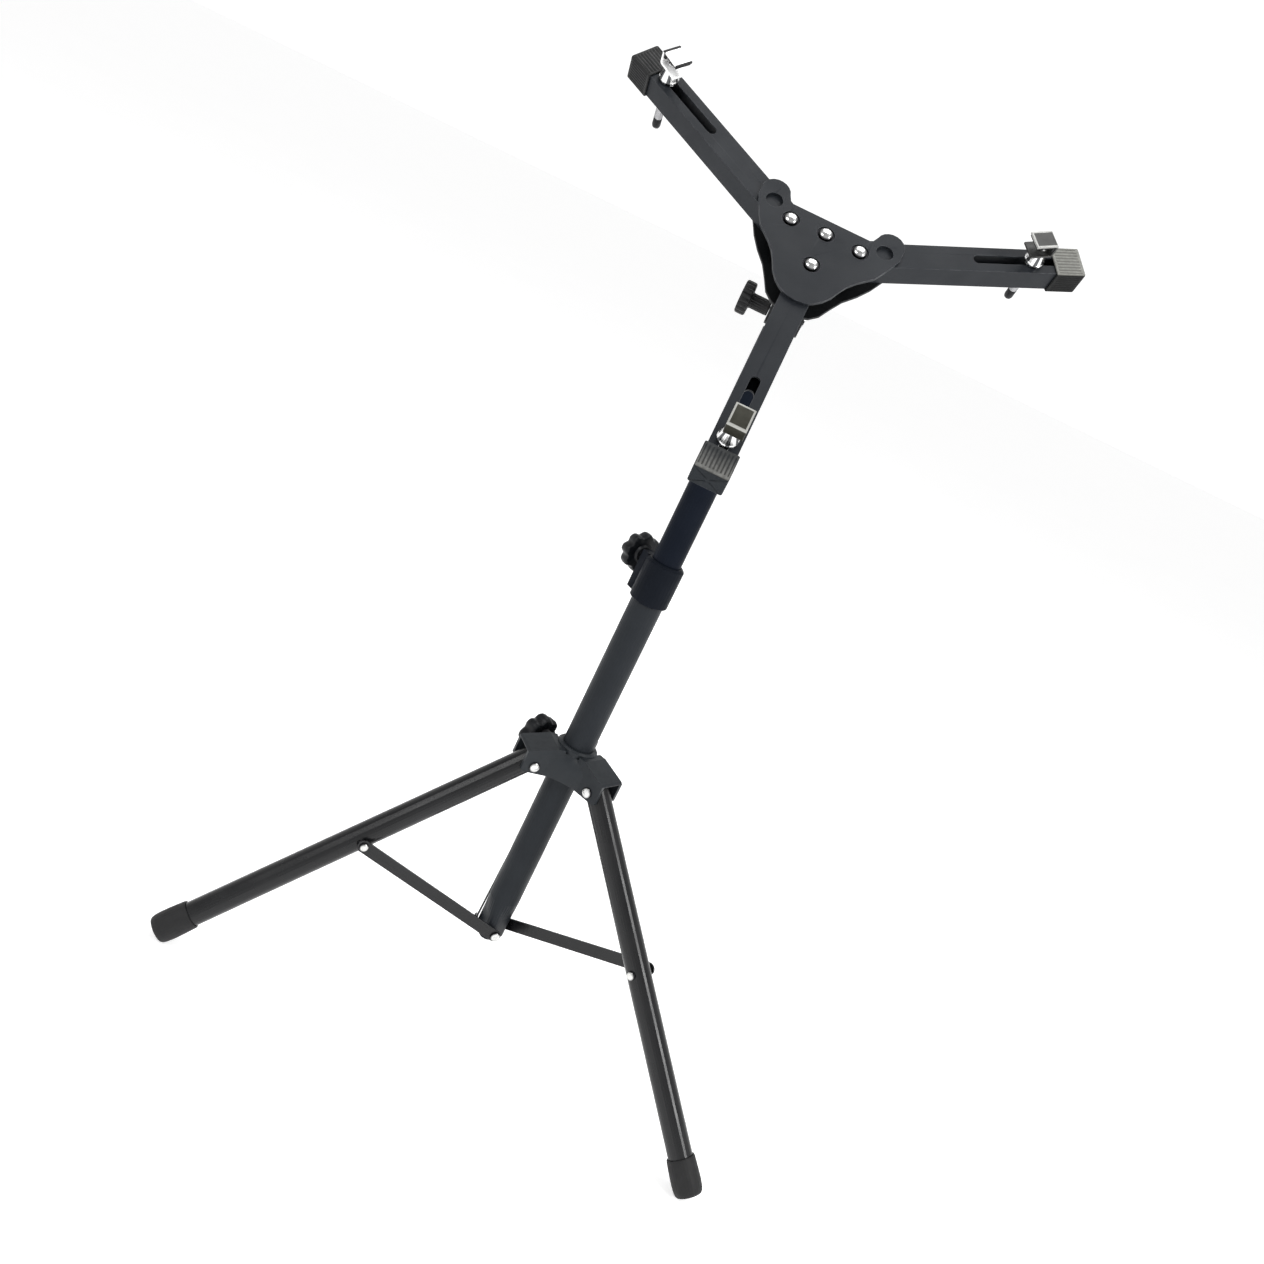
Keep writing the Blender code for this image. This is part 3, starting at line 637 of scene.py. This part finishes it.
# Rivets and screws
def rivet(name, place, span, r, height, shank, body, collars=()):
    """A pin with a round head on each end of its span, and thicker collars between given heights."""
    steps = 6
    start, end = span
    profile = [(0.0004, start)]
    for i in range(1, steps + 1):
        a = 0.5 * math.pi * i / steps
        profile.append((r * math.sin(a), start + height * 0.85 * (1 - math.cos(a))))
    profile += [(r, start + height), (shank, start + height)]
    for low, high, wide in collars:
        profile += [(shank, low), (wide, low), (wide, high), (shank, high)]
    profile += [(shank, end - height), (r, end - height)]
    for i in range(steps, 0, -1):
        a = 0.5 * math.pi * i / steps
        profile.append((r * math.sin(a), end - height * 0.85 * (1 - math.cos(a))))
    profile.append((0.0004, end))
    material = LINK_RIVET if r < 0.004 else RIVET
    return turned(name, profile, place, material, body, 36)


def build_rivets():
    for leg in ("left", "right", "rear"):
        fold = JOINTS[f"leg_{leg}_fold"]
        turn = JOINTS[f"brace_{leg}_turn"]
        across = Vector(fold["axis"])
        place = axes(fold["pos_m"], (0.0, 0.0, 1.0), across)
        low, high = extent(f"leg_pivot_rivet_{leg}", place)
        node = rivet(f"hinge_rivet_{leg}", place, (low.z, high.z), 0.0043, 0.0017, 0.0029, "hub")
        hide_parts(f"leg_pivot_rivet_{leg}")

        place = axes(turn["pos_m"], (0.0, 0.0, 1.0), across)
        low, high = extent(f"brace_rivet_{leg}", place)
        strip_low, strip_high = extent(f"brace_{leg}", place)
        tube = max(extent(f"leg_{leg}", place)[1].z, 0.0) + 0.0004
        collar = ((tube, strip_low.z - 0.0003, 0.0039),)
        span = (low.z, high.z)
        node = rivet(f"link_rivet_{leg}", place, span, 0.0036, 0.0019, 0.0029, f"leg_{leg}", collar)
        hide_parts(f"brace_rivet_{leg}")

        place = axes((0.0, 0.0, 0.0), (0.0, 0.0, 1.0), across)
        low, high = extent(f"brace_pin_{leg}", place)
        middle = Matrix.Translation(((low.x + high.x) / 2, (low.y + high.y) / 2, 0.0))
        head = 0.0019
        profile = [(0.0024, low.z), (0.0024, high.z - head), (0.0042, high.z - head), (0.0042, high.z - head * 0.7)]
        for i in range(1, 7):
            a = 0.5 * math.pi * i / 6.3
            profile.append((0.0042 * math.cos(a), high.z - head * 0.7 * (1 - math.sin(a))))
        pin = turned(f"link_pin_{leg}", profile, place @ middle, RIVET, f"brace_{leg}", 36)
        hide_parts(f"brace_pin_{leg}")


def build_heads():
    tilt_axis = Vector(JOINTS["head_tilt"]["axis"])
    normal = Vector(JOINTS["arm_left_fold"]["axis"])
    for node in ("plate_screw_upper", "plate_screw_lower", "arm_pivot_left", "arm_pivot_right"):
        flat = axes((0.0, 0.0, 0.0), tilt_axis, normal)
        low, high = extent(node, flat)
        top = flat @ Matrix.Translation(((low.x + high.x) / 2, (low.y + high.y) / 2, high.z - 0.0028))
        dome(f"{node}_dome", top, 0.0049, 0.0031, SCREW, "head", 0.0009)
        # A thin black ring in the dish round each screw head is painted shade: it stands in for the shadow in the
        # dish.
        seat = [(0.0047, -0.0001), (0.0058, -0.0001), (0.0061, 0.0001), (0.0061, 0.0003), (0.0047, 0.0003)]
        ring = [circle(r, z) for r, z in seat]
        piece(f"{node}_washer", ring, top, SHADE_RING, "head", closed=True)


# Hub: rounded webs fill the corners between the leg sockets.
SOCKET_HALF = 0.013
WEB_REACH = 0.0275


def build_hub_webs():
    centre = Vector(JOINTS["hub_knob_turn"]["pos_m"])
    for leg in ("left", "right", "rear"):
        fold = JOINTS[f"leg_{leg}_fold"]
        across = Vector(fold["axis"])
        out = across.cross(Vector((0.0, 0.0, 1.0)))
        pivot_z = fold["pos_m"][2]
        start = math.atan2(out.y, out.x)
        place = Matrix.Translation((centre.x, centre.y, pivot_z)) @ Matrix.Rotation(start, 4, "Z")
        loops = []
        for z, reach in ((-0.0054, -0.0006), (-0.0046, 0.0), (0.008, 0.0), (0.0135, -0.0035), (0.0165, -0.0095)):
            loops.append(web_outline(WEB_REACH + reach, z))
        piece(f"hub_web_{leg}", loops, place, PLASTIC, "hub", smooth=50.0)


def web_outline(reach, z):
    """The corner between a socket along local X and the next one, 120 degrees on."""
    first = Vector((reach, SOCKET_HALF - 0.0006))
    turn = Matrix.Rotation(math.radians(120.0), 2)
    last = turn @ Vector((reach, -SOCKET_HALF + 0.0006))
    inner = Vector((math.cos(math.radians(60.0)), math.sin(math.radians(60.0)))) * 0.0150
    control = Vector((math.cos(math.radians(60.0)), math.sin(math.radians(60.0)))) * reach * 0.62
    points = []
    steps = 12
    for i in range(steps + 1):
        t = i / steps
        p = first * (1 - t) ** 2 + control * 2 * t * (1 - t) + last * t**2
        points.append((p.x, p.y, z))
    points.append(((last.x + inner.x) / 2, (last.y + inner.y) / 2, z))
    points.append((inner.x, inner.y, z))
    points.append(((first.x + inner.x) / 2, (first.y + inner.y) / 2, z))
    return points


# Hand knobs
def lobed(r, depth, lobes, z, steps=12):
    loop = []
    for i in range(lobes * steps):
        a = 2 * math.pi * i / (lobes * steps)
        grip = r - depth * (0.5 - 0.5 * math.cos(lobes * a)) ** 1.6
        loop.append((grip * math.cos(a), grip * math.sin(a), z))
    return loop


def build_hand_knob(node, joint, lobes, depth, bore):
    place = axes(JOINTS[joint]["pos_m"], (0.0, 0.0, 1.0), JOINTS[joint]["axis"])
    low, high = extent(node, place)
    r = max(high.x, high.y)
    a, b = low.z, high.z
    tall = b - a
    loops = [
        lobed(bore, 0.0, lobes, a + tall * 0.7),
        lobed(bore, 0.0, lobes, a),
        lobed(r * 0.42, 0.0, lobes, a),
        lobed(r * 0.46, 0.0, lobes, a + 0.0007),
        lobed(r * 0.50, 0.0, lobes, a + tall * 0.16),
        lobed(r * 0.82, depth * 0.7, lobes, a + tall * 0.14),
        lobed(r * 0.93, depth * 0.9, lobes, a + tall * 0.18),
        lobed(r * 0.99, depth, lobes, a + tall * 0.3),
        lobed(r, depth, lobes, a + tall * 0.45),
        lobed(r, depth, lobes, a + tall * 0.72),
        lobed(r * 0.975, depth, lobes, a + tall * 0.84),
        lobed(r * 0.91, depth * 0.9, lobes, a + tall * 0.93),
        lobed(r * 0.82, depth * 0.7, lobes, a + tall * 0.98),
        lobed(r * 0.66, depth * 0.3, lobes, b),
        lobed(r * 0.56, 0.0, lobes, b),
        lobed(r * 0.53, 0.0, lobes, b - 0.0006),
        lobed(r * 0.28, 0.0, lobes, b - 0.0010),
        lobed(r * 0.06, 0.0, lobes, b - 0.0010),
    ]
    knob = piece(f"{node}_grip", loops, place, KNOB_PLASTIC, node, smooth=42.0)
    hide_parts(node)


def build_tilt_knob():
    joint = JOINTS["tilt_knob_turn"]
    place = axes(joint["pos_m"], (0.0, 0.0, 1.0), joint["axis"])
    low, high = extent("tilt_knob", place)
    disc = high.z - 0.0075
    r = max(high.x, high.y)
    ribs = 18
    loops = [
        lobed(0.0033, 0.0, ribs, high.z - 0.003, 6),
        lobed(0.0033, 0.0, ribs, low.z, 6),
        lobed(0.0047, 0.0, ribs, low.z, 6),
        lobed(0.0052, 0.0, ribs, low.z + 0.0005, 6),
        lobed(0.0052, 0.0, ribs, low.z + 0.0016, 6),
        lobed(0.0053, 0.0005, ribs, low.z + 0.0022, 6),
        lobed(0.0053, 0.0005, ribs, disc - 0.0012, 6),
        lobed(0.0056, 0.0, ribs, disc - 0.0004, 6),
        lobed(r * 0.9, 0.0004, ribs, disc, 6),
        lobed(r * 0.98, 0.0008, ribs, disc + 0.0006, 6),
        lobed(r, 0.0010, ribs, disc + 0.0014, 6),
        lobed(r, 0.0010, ribs, high.z - 0.0014, 6),
        lobed(r * 0.98, 0.0008, ribs, high.z - 0.0006, 6),
        lobed(r * 0.9, 0.0004, ribs, high.z, 6),
        lobed(r * 0.6, 0.0, ribs, high.z - 0.0004, 6),
        lobed(r * 0.1, 0.0, ribs, high.z - 0.0006, 6),
    ]
    knob = piece("tilt_knob_grip", loops, place, TILT_PLASTIC, "tilt_knob", smooth=42.0)
    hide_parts("tilt_knob")


CAP_BODIES = {"fixed": "head", "left": "arm_left", "right": "arm_right"}
for arm, arm_body in CAP_BODIES.items():
    build_cap(arm, arm_body)
    build_clamp(arm)
    build_clip(arm)
build_heads()
build_rivets()
build_hub_webs()
build_hand_knob("hub_knob", "hub_knob_turn", 8, 0.0028, 0.0033)
build_hand_knob("collar_knob", "collar_knob_turn", 8, 0.0023, 0.0033)
build_tilt_knob()


# Studio
def floor_material():
    n = Nodes("paper")
    cloud = n.ramp(n.noise(3.0, 3.0), 0.3, 0.7, 0.0, 1.0)
    n.link(n.mix(cloud, (0.93, 0.93, 0.93), (0.95, 0.95, 0.95)), n.shader.inputs["Base Color"])
    n.set("Roughness", 0.9)
    n.set("Specular IOR Level", 0.1)
    n.set("Emission Color", (1.0, 1.0, 1.0, 1.0))
    n.set("Emission Strength", 0.42)
    return n.material


def build_studio():
    mesh = bpy.data.meshes.new("floor")
    size = 30.0
    corners = [(-size, -size, 0), (size, -size, 0), (size, size, 0), (-size, size, 0)]
    mesh.from_pydata(corners, [], [(0, 1, 2, 3)])
    mesh.materials.append(floor_material())
    floor = bpy.data.objects.new("floor", mesh)
    floor.location.z = -0.0005
    bpy.context.scene.collection.objects.link(floor)
    world = bpy.data.worlds.new("studio")
    bpy.context.scene.world = world
    world.use_nodes = True
    tree = world.node_tree
    background = tree.nodes["Background"]
    place = tree.nodes.new("ShaderNodeTexCoord")
    split = tree.nodes.new("ShaderNodeSeparateXYZ")
    fade = tree.nodes.new("ShaderNodeMapRange")
    fade.interpolation_type = "SMOOTHSTEP"
    fade.inputs["From Min"].default_value = 0.22
    fade.inputs["From Max"].default_value = 0.75
    fade.inputs["To Min"].default_value = 1.12
    fade.inputs["To Max"].default_value = 0.4
    tree.links.new(place.outputs["Generated"], split.inputs["Vector"])
    tree.links.new(split.outputs["Z"], fade.inputs["Value"])
    tree.links.new(fade.outputs["Result"], background.inputs["Strength"])
    background.inputs["Color"].default_value = (1.0, 1.0, 1.0, 1.0)


def area_light(name, at, target, size, power):
    data = bpy.data.lights.new(name, "AREA")
    data.shape = "RECTANGLE"
    data.size, data.size_y = size
    data.energy = power
    light = bpy.data.objects.new(name, data)
    turn = (Vector(target) - Vector(at)).to_track_quat("-Z", "Y").to_matrix().to_4x4()
    light.matrix_world = Matrix.Translation(at) @ turn
    bpy.context.scene.collection.objects.link(light)


build_studio()
area_light("key", (-1.2, -1.4, 2.0), (0.0, 0.0, 0.35), (0.9, 0.9), 20.0)
area_light("strip", (1.3, -0.9, 1.3), (0.0, 0.0, 0.3), (0.2, 1.6), 22.0)
area_light("top", (0.0, 0.3, 2.4), (0.0, 0.0, 0.4), (1.2, 1.2), 18.0)
bpy.context.scene.view_settings.view_transform = "Standard"
